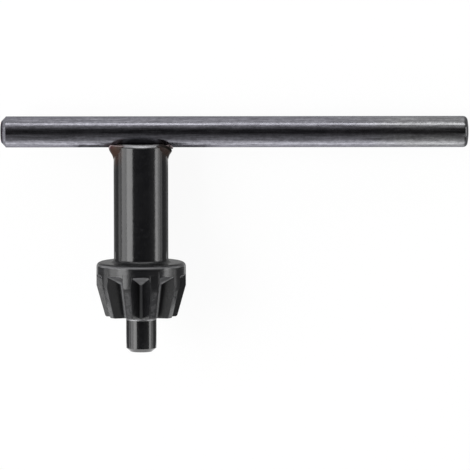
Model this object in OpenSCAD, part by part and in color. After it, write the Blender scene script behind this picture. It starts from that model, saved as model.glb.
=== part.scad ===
// Drill chuck key: a turned and cut steel key body with a bevel gear head and a round pilot,
// and a drawn steel rod resistance welded across its top end, off centre.
//
// Each piece is drawn in the key's own axes: X runs along the rod, Z runs down the shank from the
// rod's axis to the tip of the pilot, and Y points at the viewer. laid() then turns the whole key
// to the way it lies on a table.

/* [Handle rod] */
// Diameter of the rod
rod_d = 4.0; // [3.4:0.1:4.8]
// Length of the left arm, from the axis of the shank
left_arm = 18.0; // [10:0.5:24]
// Length of the right arm, from the axis of the shank
right_arm = 42.0; // [34:0.5:70]
// Bevel around the left end of the rod
rod_bevel = 0.6; // [0.2:0.05:1.2]
// Rounding around the right end of the rod
rod_round = 0.6; // [0.2:0.05:1.2]

/* [Shank] */
// Diameter of the shank
shank_d = 7.0; // [6:0.1:8.6]
// Length of the shank, from its top end to the gear head
shank_l = 15.15; // [12:0.05:30]
// Bevel around the top end of the shank
shank_bevel = 0.3; // [0.1:0.05:0.6]
// Radius of the fillet between the shank and the gear head
foot_fillet = 0.55; // [0.2:0.05:0.9]

/* [Weld] */
// How deep the rod is pressed into the top end of the shank
weld_sink = 0.4; // [0.2:0.05:0.8]
// How far the flash stands out past each side of the shank, along the rod
flash_reach = 0.7; // [0.3:0.02:1.1]
// How far the flash runs down the shank from its top end
flash_drop = 2.3; // [1.6:0.1:4]
// Width of the flash where it leaves the rim of the shank
flash_w = 5.1; // [4:0.1:5.6]

/* [Gear head] */
// Outer diameter of the gear head
head_d = 11.5; // [10.8:0.1:15]
// Rounding of the rim of the gear head
rim_round = 0.55; // [0.2:0.05:0.7]
// Height of the straight band of the gear head, from its top face
band_h = 2.95; // [2:0.05:5]
// Height of the cone below the band
cone_h = 4.05; // [3:0.05:7]
// Diameter of the cone at its small end
cone_end_d = 9.3; // [8.4:0.1:9.8]
// Bevel around the small end of the cone
cone_bevel = 0.15; // [0.05:0.05:0.3]

/* [Teeth] */
// Number of teeth
teeth = 10; // [8:1:12]
// Turn of the teeth about the shank, from a gap that faces the viewer
teeth_turn = -0.5; // [-18:0.5:18]
// Full angle of the V-shaped gap between two teeth
gap_angle = 80; // [60:1:86]
// Width of the flat along the root of a gap
root_w = 0.25; // [0.1:0.05:0.5]
// Depth of a gap below the band, where its sloping end meets the root
gap_depth_top = 1.5; // [1:0.05:1.7]
// Depth of a gap below the cone's small end
gap_depth_end = 1.25; // [0.8:0.05:1.5]
// Distance from the head's top face to where the sloping end of a gap starts
slope_start = 1.45; // [0.8:0.05:1.8]
// Height of the sloping end of a gap, along the shank
slope_h = 1.0; // [0.4:0.05:1.5]

/* [Pilot] */
// Diameter of the pilot
pilot_d = 3.9; // [3:0.1:4.6]
// Length of the pilot, from the gear head to its tip
pilot_l = 4.55; // [3:0.05:10]
// Bevel of the tip, measured across the pilot
tip_bevel_r = 0.5; // [0.2:0.05:1]
// Bevel of the tip, measured along the pilot
tip_bevel_l = 0.45; // [0.2:0.05:1]
// Radius of the fillet between the gear head and the pilot
pilot_fillet = 0.35; // [0.1:0.05:0.6]

/* [Hidden] */
$fn = 96;
body_colour = "#26262a";
rod_colour = "#55555c";
flash_colour = "#54433b";

rod_r = rod_d / 2;
shank_r = shank_d / 2;
head_r = head_d / 2;
pilot_r = pilot_d / 2;
cone_end_r = cone_end_d / 2;

// Places along the key, from the rod's axis
shank_top = rod_r - weld_sink;
head_top = shank_top + shank_l;
band_end = head_top + band_h;
cone_end = band_end + cone_h;
tip = cone_end + pilot_l;

// A cut runs this far past the face that it opens, so that no two faces coincide
over = 1.0;

// Root of a gap between teeth: a line that slopes inwards, from the sloping end to the cone's end
root_top_r = head_r - gap_depth_top;
root_end_r = cone_end_r - gap_depth_end;
slope_z = head_top + slope_start;
root_top_z = slope_z + slope_h;
root_tilt = atan2(root_top_r - root_end_r, cone_end - root_top_z);
root_l = norm([root_top_r - root_end_r, cone_end - root_top_z]);
gap_tan = tan(gap_angle / 2);

// The flash on each side is a flared foot about an axis of its own, beside the shank's axis.
// Its round outline leaves the shank's rim flash_w / 2 from the rod's axis, and stands
// flash_reach past the shank on that axis. flash_inset lets its thin end run out below the surface.
flash_inset = 0.03;
flash_out = shank_r + flash_reach;
rim_x = sqrt(pow(shank_r, 2) - pow(flash_w / 2, 2));
flash_x = (pow(flash_out, 2) - pow(shank_r, 2)) / (2 * (flash_out - rim_x));
flash_top_r = flash_out - flash_x;
flash_end_r = shank_r - flash_x - flash_inset;
flash_step = flash_top_r - flash_end_r;
flash_arc_r = (pow(flash_drop, 2) + pow(flash_step, 2)) / (4 * flash_step);

// The key lies on the edge of the shank's top end and on the rounded rim of the head. The rod is
// thinner than the shank, so the key rolls until the end of the longer right arm touches the table.
// lean_angle lifts the shank towards the head, and roll_angle turns the key about its shank.
edge_z = shank_top + shank_bevel;
rim_r = head_r - rim_round;
rim_z = head_top + rim_round;
lean_angle = acos(-rim_round / norm([rim_r - shank_r, rim_z - edge_z]))
    - atan2(rim_z - edge_z, rim_r - shank_r);
axis_height = shank_r * cos(lean_angle) - edge_z * sin(lean_angle);
rod_dip = asin((axis_height - rod_round) / norm([right_arm - rod_round, rod_r - rod_round]))
    - atan2(rod_r - rod_round, right_arm - rod_round);
roll_angle = asin(sin(rod_dip) / cos(lean_angle));

// How far the lying key reaches from the rod's axis above the shank, to its right and left,
// and along the table past the rod and past the tip
rod_skew = sin(roll_angle) * sin(lean_angle);
reach_right = (right_arm - rod_round) * cos(roll_angle)
    + (rod_r - rod_round) * sin(roll_angle) + rod_round;
reach_left = left_arm * cos(roll_angle) + (rod_r - rod_bevel) * sin(roll_angle);
reach_rod = (left_arm - rod_bevel) * rod_skew + rod_r * sqrt(1 - pow(rod_skew, 2));
reach_tip = tip * cos(lean_angle) + (pilot_r - tip_bevel_r) * sin(lean_angle);

// Turns the key from its own axes to the way it lies, centred on the table
module laid() {
    translate([(reach_left - reach_right) / 2, (reach_tip - reach_rod) / 2, axis_height])
        rotate([90 - lean_angle, 0, 0])
            rotate([0, 0, -roll_angle])
                children();
}

// Outline of a round inside corner of radius r, which fills the corner at the origin
module corner_fill(r) {
    difference() {
        square(r);
        translate([r, r])
            circle(r);
    }
}

// Half section of the rod, with its length upwards
module rod_section() {
    rod_l = left_arm + right_arm;
    union() {
        polygon([
            [0, 0],
            [rod_r - rod_bevel, 0],
            [rod_r, rod_bevel],
            [rod_r, rod_l - rod_round],
            [rod_r - rod_round, rod_l],
            [0, rod_l]
        ]);
        intersection() {
            translate([rod_r - rod_round, rod_l - rod_round])
                circle(rod_round);
            translate([rod_r - rod_round, rod_l - rod_round])
                square(rod_round);
        }
    }
}

module rod_form() {
    translate([-left_arm, 0, 0])
        rotate([0, 90, 0])
            rotate_extrude()
                rod_section();
}

// Half section of the whole key body, turned as one piece
module body_section() {
    union() {
        polygon([
            [0, shank_top],
            [shank_r - shank_bevel, shank_top],
            [shank_r, shank_top + shank_bevel],
            [shank_r, head_top],
            [head_r - rim_round, head_top],
            [head_r, head_top + rim_round],
            [head_r, band_end],
            [cone_end_r, cone_end - cone_bevel],
            [cone_end_r - cone_bevel, cone_end],
            [pilot_r, cone_end],
            [pilot_r, tip - tip_bevel_l],
            [pilot_r - tip_bevel_r, tip],
            [0, tip]
        ]);
        intersection() {
            translate([head_r - rim_round, head_top + rim_round])
                circle(rim_round);
            translate([head_r - rim_round, head_top])
                square(rim_round);
        }
        translate([shank_r, head_top])
            mirror([0, 1])
                corner_fill(foot_fillet);
        translate([pilot_r, cone_end])
            corner_fill(pilot_fillet);
    }
}

// One gap between teeth, cut towards +X: a V along the sloping root, which ends in a flat slope
// below the head's rim. The side outline sets the root and the slope, the V sets the flanks.
module tooth_gap() {
    slope_rate = slope_h / gap_depth_top;
    root_rate = (root_top_r - root_end_r) / (cone_end - root_top_z);
    v_depth = root_w / 2 / gap_tan;
    v_rise = gap_depth_top + over * 2;
    intersection() {
        rotate([90, 0, 0])
            linear_extrude(height = head_d, center = true)
                polygon([
                    [head_r + over, slope_z - over * slope_rate],
                    [root_top_r, root_top_z],
                    [root_end_r - over * root_rate, cone_end + over],
                    [head_r + over, cone_end + over]
                ]);
        translate([root_top_r, 0, root_top_z])
            rotate([0, -root_tilt, 0])
                translate([0, 0, -slope_h - over * 2])
                    linear_extrude(height = root_l + slope_h + over * 4)
                        polygon([
                            [-v_depth, 0],
                            [v_rise, -(v_rise + v_depth) * gap_tan],
                            [v_rise, (v_rise + v_depth) * gap_tan]
                        ]);
    }
}

module body_form() {
    difference() {
        rotate_extrude()
            body_section();
        rod_form();
        for (i = [0 : teeth - 1])
            rotate([0, 0, 90 + teeth_turn + i * 360 / teeth])
                tooth_gap();
    }
}

// Half section of one side of the flash: round shoulder above, hollow run-out below
module flash_section() {
    half = flash_drop / 2;
    union() {
        translate([0, shank_top])
            square([flash_end_r, flash_drop]);
        intersection() {
            translate([0, shank_top])
                square([flash_top_r, half]);
            translate([flash_top_r - flash_arc_r, shank_top])
                circle(flash_arc_r);
        }
        difference() {
            translate([0, shank_top + half])
                square([flash_end_r + flash_step / 2, half]);
            translate([flash_end_r + flash_arc_r, shank_top + flash_drop])
                circle(flash_arc_r);
        }
    }
}

module key_body() {
    color(body_colour)
        laid()
            body_form();
}

module handle_rod() {
    color(rod_colour)
        laid()
            rod_form();
}

// Both sides of the flash take the shape of the shank and of the rod that squeezed it out
module weld_flash() {
    color(flash_colour)
        laid()
            for (side = [-1, 1])
                difference() {
                    translate([side * flash_x, 0, 0])
                        rotate_extrude()
                            flash_section();
                    rotate_extrude()
                        body_section();
                    rod_form();
                }
}

key_body();
handle_rod();
weld_flash();
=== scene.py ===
"""Dresses the drill chuck key: a drawn rod welded across a blackened, turned key body."""
from math import acos, asin, atan2, cos, hypot, pi, radians, sin, sqrt, tan
from types import SimpleNamespace

import bpy
from bpy.props import FloatProperty, FloatVectorProperty, IntProperty, PointerProperty
from mathutils import Euler, Matrix, Vector


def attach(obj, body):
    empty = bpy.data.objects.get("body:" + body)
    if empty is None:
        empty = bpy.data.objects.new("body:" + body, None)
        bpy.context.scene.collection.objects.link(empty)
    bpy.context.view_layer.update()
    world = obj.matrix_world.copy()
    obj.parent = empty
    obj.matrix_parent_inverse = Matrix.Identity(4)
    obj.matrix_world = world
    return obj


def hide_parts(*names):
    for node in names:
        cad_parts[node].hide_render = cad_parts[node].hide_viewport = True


bl_info = {
    "name": "Drill chuck key",
    "version": (1, 0, 0),
    "blender": (4, 5, 0),
    "location": "3D View > Sidebar > Chuck Key",
    "description": "Builds a blackened steel chuck key with a welded cross handle, as it lies on a table",
    "category": "Object",
}

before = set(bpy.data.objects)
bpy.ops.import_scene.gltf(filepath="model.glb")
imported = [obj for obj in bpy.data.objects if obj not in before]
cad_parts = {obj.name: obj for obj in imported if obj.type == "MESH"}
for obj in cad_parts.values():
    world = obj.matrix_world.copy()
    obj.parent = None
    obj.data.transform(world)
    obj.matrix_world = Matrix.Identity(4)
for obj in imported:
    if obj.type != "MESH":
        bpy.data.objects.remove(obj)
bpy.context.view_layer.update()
MM = 0.001
BODY = "root"
TIDY_MERGE_MM = 0.002


def millimetres(name, size, description):
    """A length property whose default is given in millimetres."""
    return FloatProperty(name=name, description=description, default=size * MM, min=0.0,
                         precision=5, unit="LENGTH")


def colour(name, value, description):
    """A colour property."""
    return FloatVectorProperty(name=name, description=description, default=value, size=3,
                               min=0.0, max=1.0, subtype="COLOR")


class KeySizes(bpy.types.PropertyGroup):
    """Sizes of the key, the same as those of the solids."""
    rod_d: millimetres("Rod diameter", 4.0, "Diameter of the handle rod")
    left_arm: millimetres("Left arm", 18.0, "From the shank's axis to the rod's left end")
    right_arm: millimetres("Right arm", 42.0, "From the shank's axis to the rod's right end")
    rod_bevel: millimetres("Left bevel", 0.6, "Bevel around the rod's left end")
    rod_round: millimetres("Right rounding", 0.6, "Rounding around the rod's right end")
    rod_crown: millimetres("End crown", 0.12, "How far the middle of a sheared rod end stands out")
    shank_d: millimetres("Shank diameter", 7.0, "Diameter of the shank")
    shank_l: millimetres("Shank length", 15.15, "From the shank's top end to the gear head")
    shank_bevel: millimetres("Shank bevel", 0.3, "Bevel around the shank's top end")
    end_swell: millimetres("End swell", 0.1, "How far the weld has pushed the shank's end up")
    foot_fillet: millimetres("Foot fillet", 0.55, "Fillet between shank and gear head")
    weld_sink: millimetres("Weld sink", 0.4, "How deep the rod is pressed into the shank")
    flash_reach: millimetres("Flash reach", 0.7, "How far the flash stands out past the shank")
    flash_drop: millimetres("Flash drop", 2.3, "How far the flash runs down the shank")
    flash_w: millimetres("Flash width", 5.1, "Width of the flash where it leaves the shank's rim")
    head_d: millimetres("Head diameter", 11.5, "Outer diameter of the gear head")
    rim_round: millimetres("Rim rounding", 0.55, "Rounding of the gear head's rim")
    band_h: millimetres("Band height", 2.95, "Height of the head's straight band")
    cone_h: millimetres("Cone height", 4.05, "Height of the head's cone")
    cone_end_d: millimetres("Cone end diameter", 9.3, "Diameter of the cone's small end")
    cone_bevel: millimetres("Cone end bevel", 0.15, "Bevel around the cone's small end")
    gap_depth_top: millimetres("Gap depth at the band", 1.5, "Depth of a tooth gap at its sloping end")
    gap_depth_end: millimetres("Gap depth at the end", 1.25, "Depth of a tooth gap at the cone's end")
    root_w: millimetres("Root width", 0.25, "Width of the flat along a gap's root")
    slope_start: millimetres("Slope start", 1.45, "From the head's top face to a gap's sloping end")
    slope_h: millimetres("Slope height", 1.0, "Height of a gap's sloping end")
    tooth_edge: millimetres("Tooth edge", 0.04, "Rounding along the teeth's edges")
    gap_corner: millimetres("Gap corner", 0.22, "Rounding inside a tooth gap, at its sloping end")
    pilot_d: millimetres("Pilot diameter", 3.9, "Diameter of the pilot")
    pilot_l: millimetres("Pilot length", 4.55, "From the gear head to the pilot's tip")
    tip_bevel_r: millimetres("Tip bevel across", 0.5, "Bevel of the tip, across the pilot")
    tip_bevel_l: millimetres("Tip bevel along", 0.45, "Bevel of the tip, along the pilot")
    pilot_fillet: millimetres("Pilot fillet", 0.35, "Fillet between head and pilot")
    flash_sink: millimetres("Flash sink", 0.2, "How far the flash reaches below the shank's surface")
    crease_w: millimetres("Crease width", 0.24, "Width of the crease in the right flash")
    crease_depth: millimetres("Crease depth", 0.35, "Depth of the crease in the right flash")
    crease_drop: millimetres("Crease drop", 0.42, "How far the crease leaves the rod at its outer end")
    flash_lumps: millimetres("Flash lumps", 0.05, "Height of the flash's lumps")
    gap_angle: FloatProperty(name="Gap angle", description="Full angle of a tooth gap's V",
                             default=radians(80), subtype="ANGLE")
    teeth_turn: FloatProperty(name="Teeth turn", description="Turn of the teeth about the shank",
                              default=radians(-0.5), subtype="ANGLE")
    teeth: IntProperty(name="Teeth", description="Number of teeth", default=10, min=8, max=12)


class KeyColours(bpy.types.PropertyGroup):
    """Colours of the finishes."""
    oxide: colour("Black oxide", (0.007, 0.007, 0.008), "Blackened steel of the key body")
    oxide_worn: colour("Worn oxide", (0.20, 0.20, 0.207), "Steel where the black is rubbed thin")
    sheared: colour("Sheared end", (0.32, 0.32, 0.33), "Bare steel of the shank's sheared top end")
    rod_steel: colour("Drawn steel", (0.26, 0.26, 0.268), "Grey steel of the rod")
    rod_violet: colour("Violet film", (0.225, 0.222, 0.25), "Thin oxide film towards the rod's left")
    heat_brown: colour("Heat brown", (0.040, 0.019, 0.012), "Brown heat tint beside the weld")
    heat_crimson: colour("Heat crimson", (0.075, 0.024, 0.030), "Crimson heat tint under the rod")
    flash_dark: colour("Dark flash", (0.028, 0.024, 0.022), "Burnt metal of the flash")
    flash_lip: colour("Flash lip", (0.40, 0.33, 0.34), "Bare steel lip of the flash at the rod")
    floor: colour("Floor", (0.8, 0.8, 0.8), "Pale floor")


def in_millimetres(sizes):
    """The sizes as plain numbers, lengths in millimetres. Pieces are modelled at that scale."""
    plain = SimpleNamespace(gap_angle=sizes.gap_angle, teeth_turn=sizes.teeth_turn,
                            teeth=sizes.teeth)
    for name in sizes.__annotations__:
        if not hasattr(plain, name):
            setattr(plain, name, getattr(sizes, name) / MM)
    return plain


def places(s):
    """Radii and places along the key, worked out from its sizes, from the rod's axis down."""
    p = SimpleNamespace()
    p.rod_r, p.shank_r, p.head_r = s.rod_d / 2, s.shank_d / 2, s.head_d / 2
    p.pilot_r, p.cone_end_r = s.pilot_d / 2, s.cone_end_d / 2
    p.shank_top = p.rod_r - s.weld_sink
    p.head_top = p.shank_top + s.shank_l
    p.band_end = p.head_top + s.band_h
    p.cone_end = p.band_end + s.cone_h
    p.tip = p.cone_end + s.pilot_l
    p.root_top_r = p.head_r - s.gap_depth_top
    p.root_end_r = p.cone_end_r - s.gap_depth_end
    p.slope_z = p.head_top + s.slope_start
    p.root_top_z = p.slope_z + s.slope_h
    return p


def lying_matrix(s):
    """Turns the key from its own axes to the way it lies, on the shank's edge, rim and rod end."""
    p = places(s)
    edge_z = p.shank_top + s.shank_bevel
    rim_r, rim_z = p.head_r - s.rim_round, p.head_top + s.rim_round
    lean = acos(-s.rim_round / hypot(rim_r - p.shank_r, rim_z - edge_z)) \
        - atan2(rim_z - edge_z, rim_r - p.shank_r)
    height = p.shank_r * cos(lean) - edge_z * sin(lean)
    end_x, end_r = s.right_arm - s.rod_round, p.rod_r - s.rod_round
    dip = asin((height - s.rod_round) / hypot(end_x, end_r)) - atan2(end_r, end_x)
    roll = asin(sin(dip) / cos(lean))
    skew = sin(roll) * sin(lean)
    right = end_x * cos(roll) + end_r * sin(roll) + s.rod_round
    left = s.left_arm * cos(roll) + (p.rod_r - s.rod_bevel) * sin(roll)
    behind = (s.left_arm - s.rod_bevel) * skew + p.rod_r * sqrt(1 - skew ** 2)
    ahead = p.tip * cos(lean) + (p.pilot_r - s.tip_bevel_r) * sin(lean)
    place = Matrix.Translation(((left - right) / 2, (ahead - behind) / 2, height))
    return place @ Matrix.Rotation(pi / 2 - lean, 4, "X") @ Matrix.Rotation(-roll, 4, "Z")


def deselect_all():
    """Object mode with nothing selected."""
    if bpy.context.object and bpy.context.object.mode != "OBJECT":
        bpy.ops.object.mode_set(mode="OBJECT")
    bpy.ops.object.select_all(action="DESELECT")


def only(piece):
    """Selects one object and makes it active."""
    deselect_all()
    piece.select_set(True)
    bpy.context.view_layer.objects.active = piece


def arc(centre_r, centre_z, radius, start, end, steps):
    """Points (r, z) along an arc of an outline, from one angle to another."""
    angles = [start + (end - start) * i / steps for i in range(steps + 1)]
    return [(centre_r + radius * cos(a), centre_z + radius * sin(a)) for a in angles]


def turn(name, outline, steps, start_angle=0.0):
    """A piece turned about Z: a disc extruded and resized from one radius to the next."""
    deselect_all()
    first_r, first_z = outline[0]
    bpy.ops.mesh.primitive_circle_add(vertices=steps, radius=first_r, fill_type="NGON",
                                      location=(0, 0, first_z))
    piece = bpy.context.object
    piece.name = piece.data.name = name
    bpy.ops.object.mode_set(mode="EDIT")
    bpy.ops.mesh.select_all(action="SELECT")
    bpy.ops.transform.rotate(value=start_angle, orient_axis="Z", center_override=(0, 0, first_z))
    for (r0, z0), (r1, z1) in zip(outline, outline[1:]):
        bpy.ops.mesh.extrude_region_move(TRANSFORM_OT_translate={"value": (0, 0, z1 - z0)})
        bpy.ops.transform.resize(value=(r1 / r0, r1 / r0, 1), center_override=(0, 0, z1))
    bpy.ops.mesh.select_all(action="SELECT")
    bpy.ops.mesh.normals_make_consistent(inside=False)
    bpy.ops.object.mode_set(mode="OBJECT")
    bpy.ops.object.transform_apply(location=True, rotation=True, scale=True)
    return piece


def apply_modifier(piece, kind, **settings):
    """Adds one modifier with its settings and applies it."""
    only(piece)
    modifier = piece.modifiers.new(kind.title(), kind)
    for key, value in settings.items():
        setattr(modifier, key, value)
    bpy.ops.object.modifier_apply(modifier=modifier.name)


def smooth(piece, angle):
    """Smooth shading up to an angle, with large faces kept flat at their small neighbours."""
    only(piece)
    bpy.ops.object.shade_smooth_by_angle(angle=angle)
    apply_modifier(piece, "WEIGHTED_NORMAL", mode="FACE_AREA", weight=50, keep_sharp=True)


def lay_down(piece, sizes):
    """Brings a piece from millimetres and the key's own axes to where the key lies."""
    only(piece)
    piece.matrix_world = lying_matrix(sizes) @ Matrix.Scale(MM, 4)
    bpy.ops.object.transform_apply(location=True, rotation=True, scale=True)


def select_edges(piece, wanted):
    """In edit mode, selects edges by wanted(ends, angle between faces, whether it is a ridge)."""
    bpy.ops.object.mode_set(mode="OBJECT")
    mesh = piece.data
    sides = {}
    for face in mesh.polygons:
        for key in face.edge_keys:
            sides.setdefault(key, []).append((face.normal.copy(), face.center.copy()))
    for item in (*mesh.vertices, *mesh.edges, *mesh.polygons):
        item.select = False
    for edge in mesh.edges:
        faces = sides.get(tuple(sorted(edge.vertices)), [])
        if len(faces) != 2:
            continue
        (normal, centre), (other_normal, other_centre) = faces
        ends = [mesh.vertices[i].co for i in edge.vertices]
        ridge = (other_centre - centre).dot(normal) < 0
        edge.select = wanted(ends, normal.angle(other_normal, 0.0), ridge)
    bpy.ops.object.mode_set(mode="EDIT")
    bpy.ops.mesh.select_mode(type="EDGE")


class ShaderTree:
    """Short calls for building a node tree."""

    def __init__(self, tree):
        self.tree = tree

    def add(self, kind, settings=None, **inputs):
        """Adds a node. A value or another node's output goes in each named input."""
        node = self.tree.nodes.new(kind)
        for key, value in (settings or {}).items():
            setattr(node, key, value)
        for key, value in inputs.items():
            self.put(node.inputs[key.replace("_", " ")], value)
        return node

    def put(self, socket, value):
        if isinstance(value, bpy.types.NodeSocket):
            self.tree.links.new(value, socket)
        else:
            socket.default_value = value

    def math(self, operation, *values, clamp=False):
        node = self.tree.nodes.new("ShaderNodeMath")
        node.operation, node.use_clamp = operation, clamp
        for socket, value in zip(node.inputs, values):
            self.put(socket, value)
        return node.outputs[0]

    def mix(self, factor, first, second, blend="MIX"):
        """Mixes two colours."""
        node = self.tree.nodes.new("ShaderNodeMix")
        node.data_type, node.blend_type = "RGBA", blend
        for socket, value in zip((node.inputs[0], node.inputs[6], node.inputs[7]),
                                 (factor, first, second)):
            if isinstance(value, (tuple, list)) and len(value) == 3:
                value = (*value, 1.0)
            self.put(socket, value)
        return node.outputs[2]

    def noise(self, vector, scale, detail=3.0, roughness=0.55, distortion=0.0):
        node = self.add("ShaderNodeTexNoise", Vector=vector, Scale=scale, Detail=detail,
                        Roughness=roughness, Distortion=distortion)
        return node.outputs["Fac"]

    def ramp(self, value, *stops):
        """Piecewise straight map of a value, from (place, level) pairs."""
        node = self.add("ShaderNodeValToRGB", Fac=value)
        elements = node.color_ramp.elements
        while len(elements) < len(stops):
            elements.new(0.5)
        for element, (place, level) in zip(elements, stops):
            element.position = place
            element.color = (level, level, level, 1.0)
        return node.outputs["Color"]

    def scaled(self, vector, factors):
        """A vector with each part multiplied by its own factor."""
        node = self.add("ShaderNodeVectorMath", {"operation": "MULTIPLY"})
        self.put(node.inputs[0], vector)
        self.put(node.inputs[1], factors)
        return node.outputs["Vector"]

    def split(self, vector):
        node = self.add("ShaderNodeSeparateXYZ", Vector=vector)
        return node.outputs


def node_group(name, inputs, outputs):
    """An empty shader group with its sockets, given as (name, kind, default)."""
    group = bpy.data.node_groups.new(name, "ShaderNodeTree")
    for direction, sockets in (("INPUT", inputs), ("OUTPUT", outputs)):
        for label, kind, default in sockets:
            socket = group.interface.new_socket(label, in_out=direction, socket_type=kind)
            if default is not None:
                socket.default_value = default
    tree = ShaderTree(group)
    return group, tree, tree.add("NodeGroupInput").outputs, tree.add("NodeGroupOutput").inputs


FLOAT, VECTOR, COLOUR = "NodeSocketFloat", "NodeSocketVector", "NodeSocketColor"


def edge_wear_group():
    """Where ridges are rubbed bright, broken up by noise. Positions in millimetres."""
    group, tree, given, result = node_group(
        "edge_wear",
        [("Position", VECTOR, None), ("Radius", FLOAT, 0.0002), ("Breakup", FLOAT, 2.5)],
        [("Mask", FLOAT, None)])
    inside = tree.add("ShaderNodeAmbientOcclusion", {"samples": 8, "inside": True,
                                                     "only_local": True},
                      Distance=given["Radius"])
    edge = tree.ramp(inside.outputs["AO"], (0.45, 1.0), (0.92, 0.0))
    chips = tree.noise(given["Position"], given["Breakup"], detail=4.0)
    broken = tree.ramp(chips, (0.36, 0.25), (0.60, 1.0))
    tree.put(result["Mask"], tree.math("MULTIPLY", edge, broken))
    return group


def heat_tint_group():
    """Masks of the heat tint beside the weld, in the key's own axes, in millimetres."""
    group, tree, given, result = node_group(
        "heat_tint",
        [("Position", VECTOR, None)],
        [("Warm", FLOAT, None), ("Crimson", FLOAT, None)])

    def near(x0, y0, z0, wide, deep, tall, start, end):
        """Fades from 1 to 0 about a place, in a soft egg shape with a ragged rim."""
        moved = tree.add("ShaderNodeVectorMath", {"operation": "SUBTRACT"})
        tree.put(moved.inputs[0], given["Position"])
        tree.put(moved.inputs[1], (x0, y0, z0))
        length = tree.add("ShaderNodeVectorMath", {"operation": "LENGTH"})
        tree.put(length.inputs[0], tree.scaled(moved.outputs["Vector"],
                                               (1 / wide, 1 / deep, 1 / tall)))
        ragged = tree.math("ADD", length.outputs["Value"],
                           tree.math("MULTIPLY", tree.math("SUBTRACT", wander, 0.5), 1.1))
        return tree.ramp(tree.math("MULTIPLY", ragged, 0.5), (start / 2, 1.0), (end / 2, 0.0))

    wander = tree.noise(given["Position"], 1.1, detail=4.0)
    left = near(-3.3, 1.2, 2.3, 1.2, 3.0, 1.9, 0.45, 1.25)
    right = near(3.2, 1.2, 2.1, 1.2, 3.0, 1.7, 0.35, 1.15)
    tree.put(result["Warm"], tree.math("MAXIMUM", left, tree.math("MULTIPLY", right, 0.7)))
    tree.put(result["Crimson"], near(-4.0, 0.6, 1.8, 0.85, 2.0, 0.45, 0.4, 1.2))
    return group


def streaks_group():
    """Fine draw lines along X, with scattered nicks. Positions in millimetres."""
    group, tree, given, result = node_group(
        "draw_lines",
        [("Position", VECTOR, None), ("Fineness", FLOAT, 5.0)],
        [("Lines", FLOAT, None), ("Nicks", FLOAT, None), ("Cloud", FLOAT, None),
         ("Grain", FLOAT, None)])
    stretched = tree.scaled(given["Position"], (0.05, 1.0, 1.0))
    fine = tree.noise(stretched, given["Fineness"], detail=5.0, roughness=0.65)
    tree.put(result["Lines"], fine)
    pits = tree.add("ShaderNodeTexVoronoi", {"feature": "F1"}, Scale=0.9,
                    Vector=tree.scaled(given["Position"], (0.55, 1.3, 1.3)))
    nick = tree.ramp(pits.outputs["Distance"], (0.05, 1.0), (0.13, 0.0))
    some = tree.ramp(tree.noise(given["Position"], 0.35), (0.5, 0.0), (0.62, 1.0))
    tree.put(result["Nicks"], tree.math("MULTIPLY", nick, some))
    tree.put(result["Cloud"], tree.noise(given["Position"], 0.22, detail=4.0))
    tree.put(result["Grain"], tree.noise(tree.scaled(given["Position"], (0.6, 1.0, 1.0)), 2.6,
                                         detail=3.0, roughness=0.7))
    return group


def key_position(tree, matrix):
    """Object coordinates turned back to the key's own axes, in millimetres."""
    back = matrix.inverted()
    where = tree.add("ShaderNodeTexCoord").outputs["Object"]
    turned = tree.add("ShaderNodeMapping", {"vector_type": "POINT"}, Vector=where,
                      Location=back.to_translation() / MM, Rotation=back.to_euler("XYZ"),
                      Scale=(1 / MM, 1 / MM, 1 / MM))
    return turned.outputs["Vector"]


def new_material(name):
    """A material with only its output and its Principled shader."""
    material = bpy.data.materials.new(name)
    material.use_nodes = True
    tree = ShaderTree(material.node_tree)
    shader = material.node_tree.nodes["Principled BSDF"]
    return material, tree, shader


def use_group(tree, group, **inputs):
    node = tree.add("ShaderNodeGroup", {"node_tree": group})
    for key, value in inputs.items():
        tree.put(node.inputs[key.replace("_", " ")], value)
    return node.outputs


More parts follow.
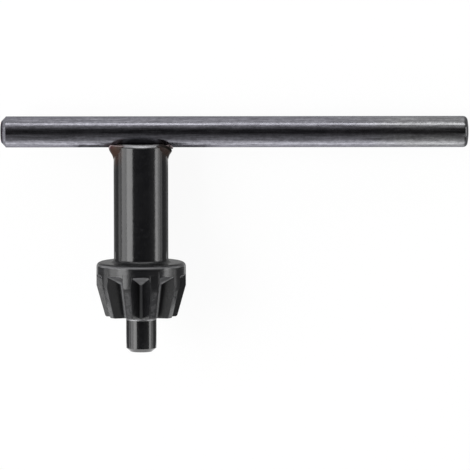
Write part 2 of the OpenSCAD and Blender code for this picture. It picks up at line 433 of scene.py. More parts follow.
def oxide_material(colours, matrix, groups):
    """Blackened steel: near black, semi-gloss, faint turning marks, ridges rubbed grey, with some painted
    highlights and painted shade.
    """
    material, tree, shader = new_material("black_oxide")
    where = key_position(tree, matrix)
    x, y, z = tree.split(where)
    wear = use_group(tree, groups["edge_wear"], Position=where, Radius=0.14 * MM)["Mask"]
    tint = use_group(tree, groups["heat_tint"], Position=where)
    radius = tree.math("SQRT", tree.math("ADD", tree.math("MULTIPLY", x, x),
                                         tree.math("MULTIPLY", y, y)))
    profile = tree.add("ShaderNodeCombineXYZ", X=radius, Z=z)
    marks = tree.noise(profile.outputs["Vector"], 7.0, detail=4.0)
    mottle = tree.noise(where, 1.7, detail=5.0)
    patches = tree.ramp(tree.noise(where, 0.5, detail=5.0), (0.45, 0.0), (0.70, 1.0))
    rubbed = tree.ramp(tree.math("DIVIDE", z, 30.0), (0.54, 0.0), (0.58, 1.0))
    angle = tree.math("SUBTRACT", tree.math("ARCTAN2", y, x), pi / 2 + radians(-0.5))
    off_gap = tree.math("PINGPONG", angle, pi / 10)
    across = tree.math("MULTIPLY", radius, tree.math("COSINE", off_gap))
    slope_z = tree.math("ADD", 18.2, tree.math("DIVIDE", tree.math("SUBTRACT", 5.75, across), 1.5))
    off_slope = tree.math("ABSOLUTE", tree.math("SUBTRACT", z, slope_z))
    under_skin = tree.ramp(tree.math("SUBTRACT", radius, 5.0), (0.66, 1.0), (0.73, 0.0))
    milled = tree.math("MULTIPLY", tree.ramp(off_slope, (0.05, 1.0), (0.13, 0.0)), under_skin)
    root_r = tree.math("SUBTRACT", 4.25, tree.math("MULTIPLY",
                                                   tree.math("SUBTRACT", z, 19.2), 0.187))
    above_root = tree.math("SUBTRACT", radius, root_r)
    root = tree.ramp(above_root, (0.02, 1.0), (0.14, 0.0))
    deepest = tree.math("MULTIPLY", milled, tree.ramp(above_root, (0.2, 1.0), (0.6, 0.0)))

    def ring(start, end, soft):
        """A band around the key between two places along it."""
        share = tree.math("DIVIDE", z, 30.0)
        return tree.math("MULTIPLY",
                         tree.ramp(share, ((start - soft) / 30, 0.0), (start / 30, 1.0)),
                         tree.ramp(share, (end / 30, 1.0), ((end + soft) / 30, 0.0)))

    # A thin ring on the rim's rounding, rubbed lighter: partly wear, partly a painted highlight where the
    # rim catches the light.
    rim_wear_and_highlight = ring(16.98, 17.14, 0.06)
    turned = tree.math("MAXIMUM", ring(17.36, 17.42, 0.05), ring(18.02, 18.08, 0.05))
    # A bare steel line on the pilot fillet: painted highlight along the fillet's reflection.
    pilot_fillet_highlight = tree.math("MULTIPLY", ring(23.98, 24.2, 0.05),
                          tree.ramp(tree.math("DIVIDE", radius, 10.0), (0.22, 1.0), (0.25, 0.0)))
    in_head = ring(18.6, 23.7, 0.1)
    worn = tree.math("MAXIMUM", tree.math("MULTIPLY", wear, 0.4),
                     tree.math("MULTIPLY", patches, tree.math("ADD", 0.02,
                                                              tree.math("MULTIPLY", rubbed, 0.03))))
    worn = tree.math("MAXIMUM", worn, tree.math("MULTIPLY", milled, 0.7))
    worn = tree.math("MAXIMUM", worn, deepest)
    worn = tree.math("MAXIMUM", worn, tree.math("MULTIPLY", rim_wear_and_highlight, 0.6))
    worn = tree.math("MAXIMUM", worn, pilot_fillet_highlight)
    specks = tree.ramp(tree.noise(where, 2.8, detail=4.0), (0.50, 0.0), (0.75, 1.0))
    worn = tree.math("MAXIMUM", worn, tree.math("MULTIPLY", specks, 0.04))
    worn = tree.math("MAXIMUM", worn,
                     tree.math("MULTIPLY", tree.math("MULTIPLY", root, in_head), 0.45))
    land = tree.math("MULTIPLY", ring(20.3, 23.6, 0.4),
                     tree.ramp(off_gap, (0.22, 0.0), (0.27, 1.0)))
    land = tree.math("MULTIPLY", land, tree.ramp(mottle, (0.35, 0.5), (0.6, 1.0)))
    worn = tree.math("MAXIMUM", worn, tree.math("MULTIPLY", land, 0.3))
    base = tree.mix(worn, tuple(colours.oxide), tuple(colours.oxide_worn))
    base = tree.mix(tree.math("MULTIPLY", tint["Warm"], 0.7), base, tuple(colours.heat_brown))
    # Bare steel of the sheared top end, kept black next to the rod: painted shade under the rod.
    topmost = tree.ramp(tree.math("DIVIDE", z, 10.0), (0.174, 1.0), (0.182, 0.0))
    clear_of_painted_rod_shade = tree.ramp(tree.math("DIVIDE", radius, 10.0), (0.24, 0.0), (0.31, 1.0))
    aside = tree.math("DIVIDE", tree.math("ABSOLUTE", x), 10.0)
    sheared = tree.math("MULTIPLY", tree.math("MULTIPLY", topmost, clear_of_painted_rod_shade),
                        tree.ramp(aside, (0.19, 1.0), (0.24, 0.0)))
    sheared = tree.math("MAXIMUM", sheared, tree.math("MAXIMUM", pilot_fillet_highlight,
                                                      tree.math("MULTIPLY", deepest, 0.8)))
    flat = tree.ramp(tree.math("SUBTRACT", z, 1.5), (0.105, 1.0), (0.13, 0.0))
    # Base darkened along the two turned rings: painted shade in their grooves.
    base = tree.mix(tree.math("MULTIPLY", turned, 0.8), base, (0.002, 0.002, 0.002))
    base = tree.mix(sheared, base, tuple(colours.sheared))
    tree.put(shader.inputs["Base Color"], base)
    tree.put(shader.inputs["Metallic"],
             tree.math("MAXIMUM", tree.math("MULTIPLY", worn, 0.8), sheared))
    rough = tree.math("ADD", tree.math("MULTIPLY", mottle, 0.12),
                      tree.math("MULTIPLY", marks, 0.06))
    rough = tree.math("ADD", rough, tree.math("MULTIPLY", worn, 0.25))
    rough = tree.math("ADD", rough, tree.math("MULTIPLY", sheared, 0.15))
    rough = tree.math("ADD", rough, tree.math("MULTIPLY", flat, 0.4))
    rough = tree.math("ADD", rough, tree.math("MULTIPLY", ring(17.3, 23.7, 0.1), 0.07))
    tree.put(shader.inputs["Roughness"], tree.math("ADD", rough, 0.06))
    shader.inputs["IOR"].default_value = 1.5
    height = tree.math("ADD", tree.math("MULTIPLY", marks, 0.4), mottle)
    height = tree.math("SUBTRACT", height, tree.math("MULTIPLY", turned, 2.0))
    bump = tree.add("ShaderNodeBump", Strength=0.28, Distance=0.02 * MM, Height=height)
    tree.put(shader.inputs["Normal"], bump.outputs["Normal"])
    return material


def rod_material(colours, matrix, groups):
    """Drawn steel: grey, satin, with lines and nicks along it, a faint violet film, and near-black ends
    as a painted dark reflection.
    """
    material, tree, shader = new_material("drawn_steel_rod")
    where = key_position(tree, matrix)
    x, y, z = tree.split(where)
    drawn = use_group(tree, groups["draw_lines"], Position=where)
    tint = use_group(tree, groups["heat_tint"], Position=where)
    film = tree.math("ADD", x, tree.math("MULTIPLY", drawn["Cloud"], 14.0))
    film = tree.ramp(tree.math("DIVIDE", tree.math("ADD", film, 18.0), 60.0),
                     (0.86, 1.0), (0.98, 0.0))
    base = tree.mix(film, tuple(colours.rod_steel), tuple(colours.rod_violet))
    shade = tree.ramp(drawn["Lines"], (0.34, 0.64), (0.66, 1.24))
    base = tree.mix(1.0, base, shade, blend="MULTIPLY")
    base = tree.mix(1.0, base, tree.ramp(drawn["Grain"], (0.38, 0.80), (0.62, 1.12)),
                    blend="MULTIPLY")
    base = tree.mix(tree.math("MULTIPLY", drawn["Nicks"], 0.5), base, (0.07, 0.07, 0.075))
    base = tree.mix(tree.math("MULTIPLY", tint["Crimson"], 0.55), base,
                    tuple(colours.heat_crimson))
    # Near-black bands on the left end bevel and the right end rounding: painted dark reflection.
    share = tree.math("DIVIDE", tree.math("ADD", x, 18.0), 60.0)
    left_end_painted_dark = tree.ramp(share, (0.0045, 0.85), (0.0068, 0.0))
    right_end_painted_dark = tree.ramp(share, (0.9895, 0.0), (0.9915, 0.7))
    base = tree.mix(tree.math("MAXIMUM", left_end_painted_dark, right_end_painted_dark), base, (0.0, 0.0, 0.0))
    tree.put(shader.inputs["Base Color"], base)
    shader.inputs["Metallic"].default_value = 1.0
    shader.inputs["Specular Tint"].default_value = (0.55, 0.55, 0.57, 1.0)
    rough = tree.math("ADD", tree.math("MULTIPLY", drawn["Cloud"], 0.10),
                      tree.math("MULTIPLY", drawn["Lines"], 0.12))
    tree.put(shader.inputs["Roughness"], tree.math("ADD", rough, 0.10))
    height = tree.math("SUBTRACT", tree.math("MULTIPLY", drawn["Lines"], 0.5), drawn["Nicks"])
    height = tree.math("ADD", height, tree.math("MULTIPLY", drawn["Grain"], 0.55))
    bump = tree.add("ShaderNodeBump", Strength=0.28, Distance=0.02 * MM, Height=height)
    tree.put(shader.inputs["Normal"], bump.outputs["Normal"])
    return material


def flash_material(colours, matrix, groups):
    """Upset weld metal: rough, dark, with brown and crimson heat tint, a steel lip, and painted shade in
    its crevices and crease.
    """
    material, tree, shader = new_material("heat_tinted_flash")
    where = key_position(tree, matrix)
    tint = use_group(tree, groups["heat_tint"], Position=where)
    clots = tree.noise(where, 2.2, detail=5.0, roughness=0.6)
    base = tree.mix(tree.ramp(clots, (0.35, 0.0), (0.65, 1.0)), tuple(colours.flash_dark),
                    tuple(colours.oxide))
    base = tree.mix(tint["Warm"], base, tuple(colours.heat_brown))
    base = tree.mix(tree.math("MULTIPLY", tint["Crimson"], 0.6), base,
                    tuple(colours.heat_crimson))
    # Occlusion darkens the base colour in crevices: painted shade.
    crevice = tree.add("ShaderNodeAmbientOcclusion", {"samples": 8}, Distance=0.15 * MM)
    painted_crevice_shade = tree.ramp(crevice.outputs["AO"], (0.2, 0.06), (0.42, 1.0))
    x, y, z = tree.split(where)
    off_rod = tree.math("SQRT", tree.math("ADD", tree.math("MULTIPLY", y, y),
                                          tree.math("MULTIPLY", z, z)))
    lip = tree.ramp(tree.math("SUBTRACT", off_rod, 2.0), (0.10, 1.0), (0.30, 0.0))
    top_face = tree.ramp(tree.math("SUBTRACT", z, 1.0), (0.64, 1.0), (0.74, 0.0))
    lip = tree.math("MAXIMUM", lip, tree.math("MULTIPLY", top_face, 0.6))
    base = tree.mix(tree.math("MULTIPLY", lip, 0.8), base, tuple(colours.flash_lip))
    base = tree.mix(1.0, base, painted_crevice_shade, blend="MULTIPLY")
    off_start = tree.math("SUBTRACT", x, 2.3)
    crease_z = tree.math("ADD", 1.5, tree.math("MULTIPLY", tree.math("MULTIPLY", off_start, off_start),
                                               0.31))
    off_crease = tree.math("ABSOLUTE", tree.math("SUBTRACT", z, crease_z))
    crease = tree.math("MULTIPLY", tree.ramp(off_crease, (0.14, 1.0), (0.26, 0.0)),
                       tree.ramp(x, (0.0, 0.0), (0.1, 1.0)))
    # The crease is painted near black: painted shade along it.
    base = tree.mix(tree.math("MULTIPLY", crease, 0.92), base, (0.004, 0.004, 0.003))
    tree.put(shader.inputs["Base Color"], base)
    tree.put(shader.inputs["Metallic"], tree.math("MULTIPLY", lip, 0.1))
    shader.inputs["Specular IOR Level"].default_value = 0.2
    shader.inputs["IOR"].default_value = 1.45
    rough = tree.math("ADD", tree.math("MULTIPLY", clots, 0.2), 0.3)
    tree.put(shader.inputs["Roughness"], tree.math("MAXIMUM", rough, crease))
    bump = tree.add("ShaderNodeBump", Strength=0.4, Distance=0.03 * MM, Height=clots)
    tree.put(shader.inputs["Normal"], bump.outputs["Normal"])
    return material


def finishes(context):
    """The finishes by name, made once."""
    scene = context.scene
    matrix = lying_matrix(scene.key_sizes)
    makers = {"black_oxide": oxide_material, "drawn_steel_rod": rod_material,
              "heat_tinted_flash": flash_material}
    if "edge_wear" not in bpy.data.node_groups:
        edge_wear_group(), heat_tint_group(), streaks_group()
    for name, maker in makers.items():
        if name not in bpy.data.materials:
            maker(scene.key_colours, matrix, bpy.data.node_groups)
    return bpy.data.materials


def finish_piece(piece, material, node):
    """Gives a piece its finish and its place in the frame."""
    piece.data.materials.clear()
    piece.data.materials.append(material)
    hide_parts(node)
    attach(piece, BODY)


ROD_STEPS, BODY_STEPS, FLASH_STEPS = 96, 100, 96


class KEY_OT_handle_rod(bpy.types.Operator):
    """Adds the drawn handle rod, bevelled at its left end and rounded at its right end"""
    bl_idname = "key.handle_rod"
    bl_label = "Handle rod"

    def execute(self, context):
        sizes = context.scene.key_sizes
        s = in_millimetres(sizes)
        r, length = s.rod_d / 2, s.left_arm + s.right_arm
        crown = s.rod_crown
        soft = 0.08
        left = [(0.02 * r, 0.0), (0.5 * r, crown * 0.25), (r - s.rod_bevel - soft, crown),
                (r - s.rod_bevel, crown + soft * 0.5)]
        left += [(r - soft, s.rod_bevel + crown * 0.5), (r, s.rod_bevel + crown)]
        body = [(r, length * i / 24) for i in range(1, 24)]
        right = arc(r - s.rod_round, length - s.rod_round - crown, s.rod_round, 0.0, pi / 2, 8)
        right += [(0.35 * r, length - crown * 0.2), (0.02 * r, length)]
        piece = turn("drawn_rod", left + body + right, ROD_STEPS)
        only(piece)
        piece.matrix_world = Matrix.Translation((-s.left_arm, 0, 0)) @ Matrix.Rotation(pi / 2, 4, "Y")
        bpy.ops.object.transform_apply(location=True, rotation=True, scale=True)
        smooth(piece, radians(50))
        lay_down(piece, sizes)
        finish_piece(piece, finishes(context)["drawn_steel_rod"], "handle_rod")
        return {"FINISHED"}


def body_outline(s):
    """Outline (r, z) of the turned key body, from its top end to its tip."""
    p = places(s)
    swell = p.shank_top - s.end_swell
    line = [(0.02 * p.shank_r, swell), (p.shank_r - s.shank_bevel, swell),
            (p.shank_r, p.shank_top + s.shank_bevel)]
    line += arc(p.shank_r + s.foot_fillet, p.head_top - s.foot_fillet, s.foot_fillet,
                pi, pi / 2, 8)
    line += arc(p.head_r - s.rim_round, p.head_top + s.rim_round, s.rim_round, -pi / 2, 0.0, 8)
    line += [(p.head_r, p.band_end), (p.cone_end_r, p.cone_end - s.cone_bevel),
             (p.cone_end_r - s.cone_bevel, p.cone_end)]
    line += arc(p.pilot_r + s.pilot_fillet, p.cone_end + s.pilot_fillet, s.pilot_fillet,
                -pi / 2, -pi, 4)
    line += [(p.pilot_r, p.tip - s.tip_bevel_l), (p.pilot_r - s.tip_bevel_r, p.tip),
             (0.02 * p.pilot_r, p.tip)]
    return line


def gap_cutter(s):
    """A V-shaped bar along a tooth gap, with its sloping end, cut towards +X."""
    p = places(s)
    over = 1.0
    half_tan = tan(s.gap_angle / 2)
    depth = s.root_w / 2 / half_tan
    rise = s.gap_depth_top + 2 * over
    tilt = atan2(p.root_top_r - p.root_end_r, p.cone_end - p.root_top_z)
    length = hypot(p.root_top_r - p.root_end_r, p.cone_end - p.root_top_z)
    deselect_all()
    bpy.ops.mesh.primitive_circle_add(vertices=3, radius=over, fill_type="NGON")
    cutter = bpy.context.object
    corners = [(-depth, 0), (rise, -(rise + depth) * half_tan), (rise, (rise + depth) * half_tan)]
    for vertex, (x, y) in zip(cutter.data.vertices, corners):
        vertex.co = (x, y, -s.slope_h - 2 * over)
    bpy.ops.object.mode_set(mode="EDIT")
    bpy.ops.mesh.select_all(action="SELECT")
    bpy.ops.mesh.extrude_region_move(
        TRANSFORM_OT_translate={"value": (0, 0, length + s.slope_h + 4 * over)})
    bpy.ops.mesh.select_all(action="SELECT")
    bpy.ops.mesh.normals_make_consistent(inside=False)
    bpy.ops.object.mode_set(mode="OBJECT")
    cutter.matrix_world = Matrix.Translation((p.root_top_r, 0, p.root_top_z)) \
        @ Matrix.Rotation(-tilt, 4, "Y")
    bpy.ops.object.transform_apply(location=True, rotation=True, scale=True)
    slope = Vector((p.root_top_r - p.head_r, 0, p.root_top_z - p.slope_z))
    root = Vector((p.root_end_r - p.root_top_r, 0, p.cone_end - p.root_top_z))
    point = (p.root_top_r, 0, p.root_top_z)
    for along in (slope, root):
        outward = along.cross(Vector((0, 1, 0))).normalized()
        if outward.x > 0:
            outward.negate()
        bpy.ops.object.mode_set(mode="EDIT")
        bpy.ops.mesh.select_all(action="SELECT")
        bpy.ops.mesh.bisect(plane_co=point, plane_no=outward, use_fill=True, clear_outer=True)
        bpy.ops.object.mode_set(mode="OBJECT")
    bpy.ops.object.mode_set(mode="EDIT")
    bpy.ops.mesh.select_all(action="SELECT")
    bpy.ops.mesh.normals_make_consistent(inside=False)
    bpy.ops.object.mode_set(mode="OBJECT")
    return cutter


def ring_of_copies(piece, count, turn_angle):
    """Copies a piece count times about Z and joins the copies into it."""
    copies = []
    for i in range(count):
        copy = piece.copy()
        copy.data = piece.data.copy()
        copy.data.transform(Matrix.Rotation(turn_angle + 2 * pi * i / count, 4, "Z"))
        bpy.context.collection.objects.link(copy)
        copies.append(copy)
    bpy.data.objects.remove(piece)
    deselect_all()
    for copy in copies:
        copy.select_set(True)
    bpy.context.view_layer.objects.active = copies[0]
    bpy.ops.object.join()
    return copies[0]


class KEY_OT_key_body(bpy.types.Operator):
    """Adds the turned key body: shank, gear head with its teeth, and pilot"""
    bl_idname = "key.key_body"
    bl_label = "Key body"

    def execute(self, context):
        sizes = context.scene.key_sizes
        s = in_millimetres(sizes)
        p = places(s)
        first_turn = pi / 2 + s.teeth_turn
        half_step = pi / BODY_STEPS
        piece = turn("turned_key_body", body_outline(s), BODY_STEPS)
        piece.data.transform(Matrix.Rotation(first_turn + half_step, 4, "Z"))
        cutter = ring_of_copies(gap_cutter(s), s.teeth, first_turn)
        apply_modifier(piece, "BOOLEAN", operation="DIFFERENCE", object=cutter, solver="MANIFOLD")
        bpy.data.objects.remove(cutter)
        only(piece)
        bpy.ops.object.mode_set(mode="EDIT")
        bpy.ops.mesh.select_all(action="SELECT")
        bpy.ops.mesh.remove_doubles(threshold=TIDY_MERGE_MM)
        self.round_edges(piece, s, p)
        smooth(piece, radians(32))
        lay_down(piece, sizes)
        finish_piece(piece, finishes(context)["black_oxide"], "key_body")
        return {"FINISHED"}

    def round_edges(self, piece, s, p):
        """Rounds the inner corners at the gaps' sloping ends, then the ridges of the teeth."""
        sharp = radians(14)

        def inner_corner(ends, angle, ridge):
            middle = (ends[0] + ends[1]) / 2
            return (not ridge and angle > sharp and p.slope_z - 0.1 < middle.z < p.root_top_z
                    and hypot(middle.x, middle.y) > p.root_top_r - 0.1)

        def tooth_ridge(ends, angle, ridge):
            low = min(e.z for e in ends)
            high = max(e.z for e in ends)
            return (ridge and angle > sharp and low > p.head_top + s.rim_round + 0.1
                    and high < p.cone_end + 0.01)

        select_edges(piece, inner_corner)
        bpy.ops.mesh.bevel(offset=s.gap_corner, segments=4, profile=0.5, affect="EDGES",
                           clamp_overlap=True)
        select_edges(piece, tooth_ridge)
        bpy.ops.mesh.bevel(offset=s.tooth_edge, segments=2, profile=0.5, affect="EDGES",
                           clamp_overlap=True)
        bpy.ops.object.mode_set(mode="OBJECT")


def flash_outline(s):
    """Outline (r, z) of one side's flared flash about its own axis, and that axis's place."""
    p = places(s)
    inset = 0.03
    out = p.shank_r + s.flash_reach
    rim_x = sqrt(p.shank_r ** 2 - (s.flash_w / 2) ** 2)
    axis_x = (out ** 2 - p.shank_r ** 2) / (2 * (out - rim_x))
    top_r, end_r = out - axis_x, p.shank_r - axis_x - inset
    step = top_r - end_r
    radius = (s.flash_drop ** 2 + step ** 2) / (4 * step)
    sweep = asin(s.flash_drop / 2 / radius)
    z0, z1 = p.shank_top, p.shank_top + s.flash_drop
    line = arc(top_r - radius, z0, radius, 0.0, sweep, 8)
    line += arc(end_r + radius, z1, radius, pi + sweep, pi, 8)[1:]
    return [(0.02 * top_r, z0)] + line + [(0.02 * end_r, z1)], axis_x


def crease_cutter(s):
    """A funnel-shaped ring about the rod's axis that leaves the rod towards its outer end."""
    p = places(s)
    first, last = 0.55 * p.shank_r, p.shank_r + s.flash_reach + 0.3
    inside, outside = [], []
    for i in range(9):
        share = i / 8
        gap = s.crease_drop * share ** 2
        along = first + (last - first) * share
        inside.append((p.rod_r + gap - 0.3 * s.crease_w, along))
        outside.append((p.rod_r + gap + 0.7 * s.crease_w, along))
    ring = turn("crease_cutter", [(0.02, first)] + outside + [(0.02, last)], FLASH_STEPS)
    core = turn("crease_core", [(0.02, first - 1), (inside[0][0], first - 1)] + inside
                + [(inside[-1][0], last + 1), (0.02, last + 1)], FLASH_STEPS)
    cut_away(ring, core)
    ring.data.transform(Matrix.Rotation(pi / 2, 4, "Y"))
    return ring


def cut_away(piece, cutter):
    """Cuts a piece with another one, which goes."""
    apply_modifier(piece, "BOOLEAN", operation="DIFFERENCE", object=cutter, solver="MANIFOLD")
    bpy.data.objects.remove(cutter)


class KEY_OT_weld_flash(bpy.types.Operator):
    """Adds the flash squeezed out on both sides of the weld"""
    bl_idname = "key.weld_flash"
    bl_label = "Weld flash"

    def execute(self, context):
        sizes = context.scene.key_sizes
        s = in_millimetres(sizes)
        p = places(s)
        outline, axis_x = flash_outline(s)
        core_r, rod_r = p.shank_r - s.flash_sink, p.rod_r - s.flash_sink / 2
        core = [(0.02, p.shank_top - 1), (core_r, p.shank_top - 1), (core_r, p.head_top),
                (0.02, p.head_top)]
        rod = [(0.02, -10), (rod_r, -10), (rod_r, 10), (0.02, 10)]
        sides = []
        for side in (-1, 1):
            bead = turn("weld_flash_beads", outline, FLASH_STEPS)
            bead.data.transform(Matrix.Translation((side * axis_x, 0, 0)))
            if side > 0:
                self.crease(bead, s, outline, axis_x)
            cut_away(bead, turn("core_cutter", core, FLASH_STEPS))
            rod_cutter = turn("rod_cutter", rod, FLASH_STEPS)
            rod_cutter.data.transform(Matrix.Rotation(pi / 2, 4, "Y"))
            cut_away(bead, rod_cutter)
            sides.append(bead)
        deselect_all()
        for bead in sides:
            bead.select_set(True)
        bpy.context.view_layer.objects.active = sides[0]
        bpy.ops.object.join()
        piece = sides[0]
        self.roughen(piece, s)
        lay_down(piece, sizes)
        finish_piece(piece, finishes(context)["heat_tinted_flash"], "weld_flash")
        return {"FINISHED"}

    def crease(self, bead, s, outline, axis_x):
        """Cuts the crease between the rod and the bead, no deeper than crease_depth."""
        groove = crease_cutter(s)
        inner = [(max(r - s.crease_depth, 0.02), z) for r, z in outline]
        inner = [(inner[0][0], inner[0][1] - 1)] + inner + [(inner[-1][0], inner[-1][1] + 1)]
        core = turn("bead_core", inner, FLASH_STEPS)
        core.data.transform(Matrix.Translation((axis_x, 0, 0)))
        cut_away(groove, core)
        cut_away(bead, groove)

    def roughen(self, piece, s):
        """Gives the beads an even skin with soft edges and small lumps."""
        apply_modifier(piece, "REMESH", mode="VOXEL", voxel_size=0.045)
        apply_modifier(piece, "SMOOTH", factor=0.5, iterations=3)
        lumps = bpy.data.textures.new("flash_lumps", "CLOUDS")
        lumps.noise_scale = 0.55
        lumps.noise_depth = 2
        apply_modifier(piece, "DISPLACE", texture=lumps, strength=s.flash_lumps, mid_level=0.5,
                       texture_coords="LOCAL")
        only(piece)
        bpy.ops.object.shade_smooth()


PHOTO_PX = 470
ROD_PX = 468.25
AXIS_PX = (140.9, 131.7)
VIEW_LIFT = radians(5.75)
VIEW_ROLL = radians(-0.06)
LENS_MM, SENSOR_MM = 400.0, 36.0


def picture_axes(matrix):
    """Right, down and towards-the-viewer directions of the photograph, in the frame."""
    turn_back = matrix.to_3x3()
    right = turn_back @ Vector((1, 0, 0))
    down = turn_back @ Vector((0, sin(VIEW_LIFT), cos(VIEW_LIFT)))
    viewer = turn_back @ Vector((0, cos(VIEW_LIFT), -sin(VIEW_LIFT)))
    return right, down, viewer


def add_camera(s):
    """A long lens that looks down on the lying key, in the photograph's frame."""
    matrix = lying_matrix(s)
    right, down, viewer = picture_axes(matrix)
    per_px = (s.left_arm + s.right_arm) / ROD_PX
    centre = matrix.to_translation() \
        + right * (PHOTO_PX / 2 - AXIS_PX[0]) * per_px + down * (PHOTO_PX / 2 - AXIS_PX[1]) * per_px
    distance = LENS_MM / SENSOR_MM * PHOTO_PX * per_px
    data = bpy.data.cameras.new("camera")
    data.lens, data.sensor_width = LENS_MM, SENSOR_MM
    data.clip_start, data.clip_end = 0.05, 10.0
    camera = bpy.data.objects.new("camera", data)
    bpy.context.collection.objects.link(camera)
    axes = Matrix((right, -down, viewer)).transposed()
    rolled = axes @ Matrix.Rotation(VIEW_ROLL, 3, "Z")
    camera.matrix_world = Matrix.Translation(centre + viewer * distance) @ rolled.to_4x4()
    bpy.context.scene.camera = camera


def add_softbox(name, away, along, spread, length, shift, radiance):
    """A rectangular lamp half a metre off that faces the key, as wide as its angle of spread."""
    distance, target = 0.5, Vector((0, 0, 0.004))
    width = 2 * distance * tan(spread / 2)
    data = bpy.data.lights.new(name, "AREA")
    data.shape, data.size, data.size_y = "RECTANGLE", width, length
    data.energy = radiance * pi * width * length
    lamp = bpy.data.objects.new(name, data)
    bpy.context.collection.objects.link(lamp)
    side = along.cross(away).normalized()
    axes = Matrix((side, away.cross(side), away)).transposed()
    lamp.matrix_world = Matrix.Translation(target + away * distance + along * shift) \
        @ axes.to_4x4()
    lamp.visible_camera = False
    return lamp


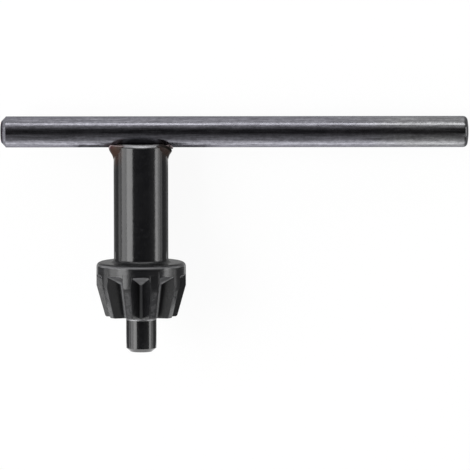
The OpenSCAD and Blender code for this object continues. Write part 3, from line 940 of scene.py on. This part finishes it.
class KEY_OT_stage(bpy.types.Operator):
    """Adds the pale floor, the soft lamps, the world and the camera"""
    bl_idname = "key.stage"
    bl_label = "Stage"

    def execute(self, context):
        s, colours = context.scene.key_sizes, context.scene.key_colours
        add_camera(s)
        right, down, viewer = picture_axes(lying_matrix(s))

        def towards(angle, side):
            return viewer * cos(radians(angle)) + side * sin(radians(angle))

        def below(angle, side):
            return towards(angle, side) * cos(radians(25)) + down * sin(radians(25))

        boxes = (
            ("left_below", below(28, -right), down, 18, 0.14, 0.0, 0.7),
            ("right_below", below(28, right), down, 18, 0.14, 0.0, 0.55),
            ("left_near", towards(50, -right), down, 27, 0.41, 0.0, 5.3),
            ("left_low", towards(50, -right), down, 27, 0.32, 0.365, 0.8),
            ("left_far", towards(77, -right), down, 24, 0.46, 0.0, 2.9),
            ("right_near", towards(69.5, right), down, 13.5, 0.46, 0.0, 4.7),
            ("right_far", towards(82, right), down, 12, 0.46, 0.0, 2.2),
            ("top_strip", towards(58.5, -down), right, 14, 0.8, 0.0, 2.3),
        )
        for name, away, along, spread, length, shift, radiance in boxes:
            add_softbox(name, away, along, radians(spread), length, shift, radiance)
        for name, off, top, bottom, heights in (
                ("left_card", -8.0, 11.0, -3.6, (4.1, 6.1)),
                ("left_gear_card", -9.5, -3.6, -11.2, (7.6, 7.9)),
                ("left_low_card", -5.6, -11.2, -15.6, (6.7, 7.3)),
                ("right_card", 8.0, 11.0, -3.6, (4.4, 6.5)),
                ("right_gear_card", 9.5, -3.6, -11.2, (7.9, 8.2)),
                ("right_low_card", 5.6, -11.2, -15.6, (6.8, 7.4))):
            self.add_card(name, off, top, bottom, heights)
        self.add_floor(context, colours)
        self.add_world(context, viewer, right, down)
        context.scene.view_settings.view_transform = "Standard"
        return {"FINISHED"}

    def add_floor(self, context, colours):
        """The floor shows white with a soft shadow to the camera and is matt otherwise; to metal it glows
        as a painted reflection, graded along Y, with a painted shadow beside the key.
        """
        deselect_all()
        bpy.ops.mesh.primitive_plane_add(size=6.0, location=(0, 0, 0))
        floor = bpy.context.object
        floor.name = "floor"
        material = bpy.data.materials.new("pale_floor")
        material.use_nodes = True
        tree = ShaderTree(material.node_tree)
        material.node_tree.nodes.remove(material.node_tree.nodes["Principled BSDF"])
        path = tree.add("ShaderNodeLightPath").outputs
        matt = tree.add("ShaderNodeBsdfDiffuse", Color=(*colours.floor, 1.0))
        shadow = tree.add("ShaderNodeBsdfDiffuse", Color=(0.08, 0.08, 0.08, 1.0))
        glow = tree.add("ShaderNodeEmission", Color=(1, 1, 1, 1), Strength=0.93)
        seen = tree.add("ShaderNodeAddShader")
        tree.put(seen.inputs[0], shadow.outputs[0])
        tree.put(seen.inputs[1], glow.outputs[0])
        x, y, z = tree.split(tree.add("ShaderNodeTexCoord").outputs["Object"])
        place = tree.math("ADD", tree.math("MULTIPLY", y, 4.0), 0.5)
        level = tree.ramp(place, (0.10, 0.84), (0.38, 0.66), (0.50, 0.48), (0.55, 0.34),
                          (0.60, 0.34))
        axis_x = (context.scene.key_sizes.left_arm - context.scene.key_sizes.right_arm) / 2
        aside = tree.math("MULTIPLY", tree.math("ABSOLUTE", tree.math("SUBTRACT", x, axis_x)), 10.0)
        beside = tree.ramp(aside, (0.07, 1.0), (0.10, 0.0))
        along_key = tree.ramp(place, (0.432, 0.0), (0.44, 1.0))
        along_key = tree.math("MULTIPLY", along_key, tree.ramp(place, (0.53, 1.0), (0.54, 0.0)))
        # Darker beside the key: painted shadow in the floor's glow that metal reflects.
        shade = tree.math("MULTIPLY", tree.math("MULTIPLY", beside, along_key), 0.8)
        shade = tree.math("SUBTRACT", 1.0, shade)
        shade = tree.math("MULTIPLY", shade, tree.ramp(aside, (0.3, 1.0), (0.6, 0.7)))
        painted_reflection_glow = tree.add("ShaderNodeEmission", Strength=3.0,
                            Color=tree.mix(1.0, level, shade, blend="MULTIPLY"))
        plain = tree.add("ShaderNodeMixShader", Fac=path["Is Glossy Ray"])
        tree.put(plain.inputs[1], matt.outputs[0])
        tree.put(plain.inputs[2], painted_reflection_glow.outputs[0])
        mixed = tree.add("ShaderNodeMixShader", Fac=path["Is Camera Ray"])
        tree.put(mixed.inputs[1], plain.outputs[0])
        tree.put(mixed.inputs[2], seen.outputs[0])
        tree.put(material.node_tree.nodes["Material Output"].inputs["Surface"], mixed.outputs[0])
        floor.data.materials.append(material)

    def add_card(self, name, off, top, bottom, heights):
        """A dark upright card beside the key, seen only as the dark edge of its reflections."""
        deselect_all()
        bpy.ops.mesh.primitive_plane_add(size=1.0, location=(0, 0, 0))
        card = bpy.context.object
        card.name = name
        x = bpy.context.scene.key_sizes.left_arm - bpy.context.scene.key_sizes.right_arm
        x = x / 2 + off * MM
        corners = ((top, 0.0), (bottom, 0.0), (top, heights[0]), (bottom, heights[1]))
        for vertex, (y, z) in zip(card.data.vertices, corners):
            vertex.co = (x, y * MM, z * MM)
        if "dark_card" not in bpy.data.materials:
            material = bpy.data.materials.new("dark_card")
            material.use_nodes = True
            tree = ShaderTree(material.node_tree)
            material.node_tree.nodes.remove(material.node_tree.nodes["Principled BSDF"])
            dim = tree.add("ShaderNodeEmission", Color=(1, 1, 1, 1), Strength=0.18)
            tree.put(material.node_tree.nodes["Material Output"].inputs["Surface"], dim.outputs[0])
        card.data.materials.append(bpy.data.materials["dark_card"])
        card.visible_camera = card.visible_diffuse = False
        card.visible_transmission = card.visible_shadow = False

    def add_world(self, context, viewer, right, down):
        """White to the camera; to the key dark overhead, and paler towards the table."""
        world = bpy.data.worlds.new("studio")
        context.scene.world = world
        world.use_nodes = True
        tree = ShaderTree(world.node_tree)
        direction = tree.add("ShaderNodeTexCoord").outputs["Generated"]

        def share(axis):
            node = tree.add("ShaderNodeVectorMath", {"operation": "DOT_PRODUCT"})
            tree.put(node.inputs[0], direction)
            tree.put(node.inputs[1], axis)
            return node.outputs["Value"]

        angle = tree.math("ARCTAN2", share(down), share(viewer))
        place = tree.math("ADD", tree.math("DIVIDE", angle, 2 * pi), 0.5)

        def at(degrees, level):
            return 0.5 + degrees / 360, level

        upright = tree.ramp(place, at(-100, 0.38), at(-84, 0.38), at(-68, 0.28), at(-50, 0.24),
                            at(-38, 0.20), at(-26, 0.08), at(-16, 0.014), at(10, 0.008),
                            at(18, 0.024), at(26, 0.064), at(42, 0.104), at(58, 0.176),
                            at(66, 0.232), at(75, 0.36), at(84, 0.54), at(94, 0.80), at(100, 1.0))
        aside = tree.math("ABSOLUTE", share(right))
        across = tree.ramp(aside, (0.15, 0.004), (0.5, 0.025), (0.8, 0.12))
        level = tree.mix(tree.ramp(aside, (0.30, 0.0), (0.85, 1.0)), upright, across)
        path = tree.add("ShaderNodeLightPath").outputs
        back = world.node_tree.nodes["Background"]
        tree.put(back.inputs["Color"], tree.mix(path["Is Camera Ray"], level, (0.4, 0.4, 0.4)))
        back.inputs["Strength"].default_value = 2.5


class KEY_PT_panel(bpy.types.Panel):
    """Lists the key's pieces and its stage"""
    bl_label = "Chuck Key"
    bl_space_type = "VIEW_3D"
    bl_region_type = "UI"
    bl_category = "Chuck Key"

    def draw(self, context):
        for operator in OPERATORS:
            self.layout.operator(operator.bl_idname)
        for group in (context.scene.key_sizes, context.scene.key_colours):
            for name in group.__annotations__:
                self.layout.prop(group, name)


OPERATORS = (KEY_OT_handle_rod, KEY_OT_key_body, KEY_OT_weld_flash, KEY_OT_stage)
CLASSES = (KeySizes, KeyColours, *OPERATORS, KEY_PT_panel)


def register():
    for cls in CLASSES:
        bpy.utils.register_class(cls)
    bpy.types.Scene.key_sizes = PointerProperty(type=KeySizes)
    bpy.types.Scene.key_colours = PointerProperty(type=KeyColours)


def unregister():
    del bpy.types.Scene.key_colours
    del bpy.types.Scene.key_sizes
    for cls in reversed(CLASSES):
        bpy.utils.unregister_class(cls)


def main():
    """Builds every piece and the stage."""
    register()
    bpy.ops.key.handle_rod()
    bpy.ops.key.key_body()
    bpy.ops.key.weld_flash()
    bpy.ops.key.stage()


if __name__ == "__main__":
    main()
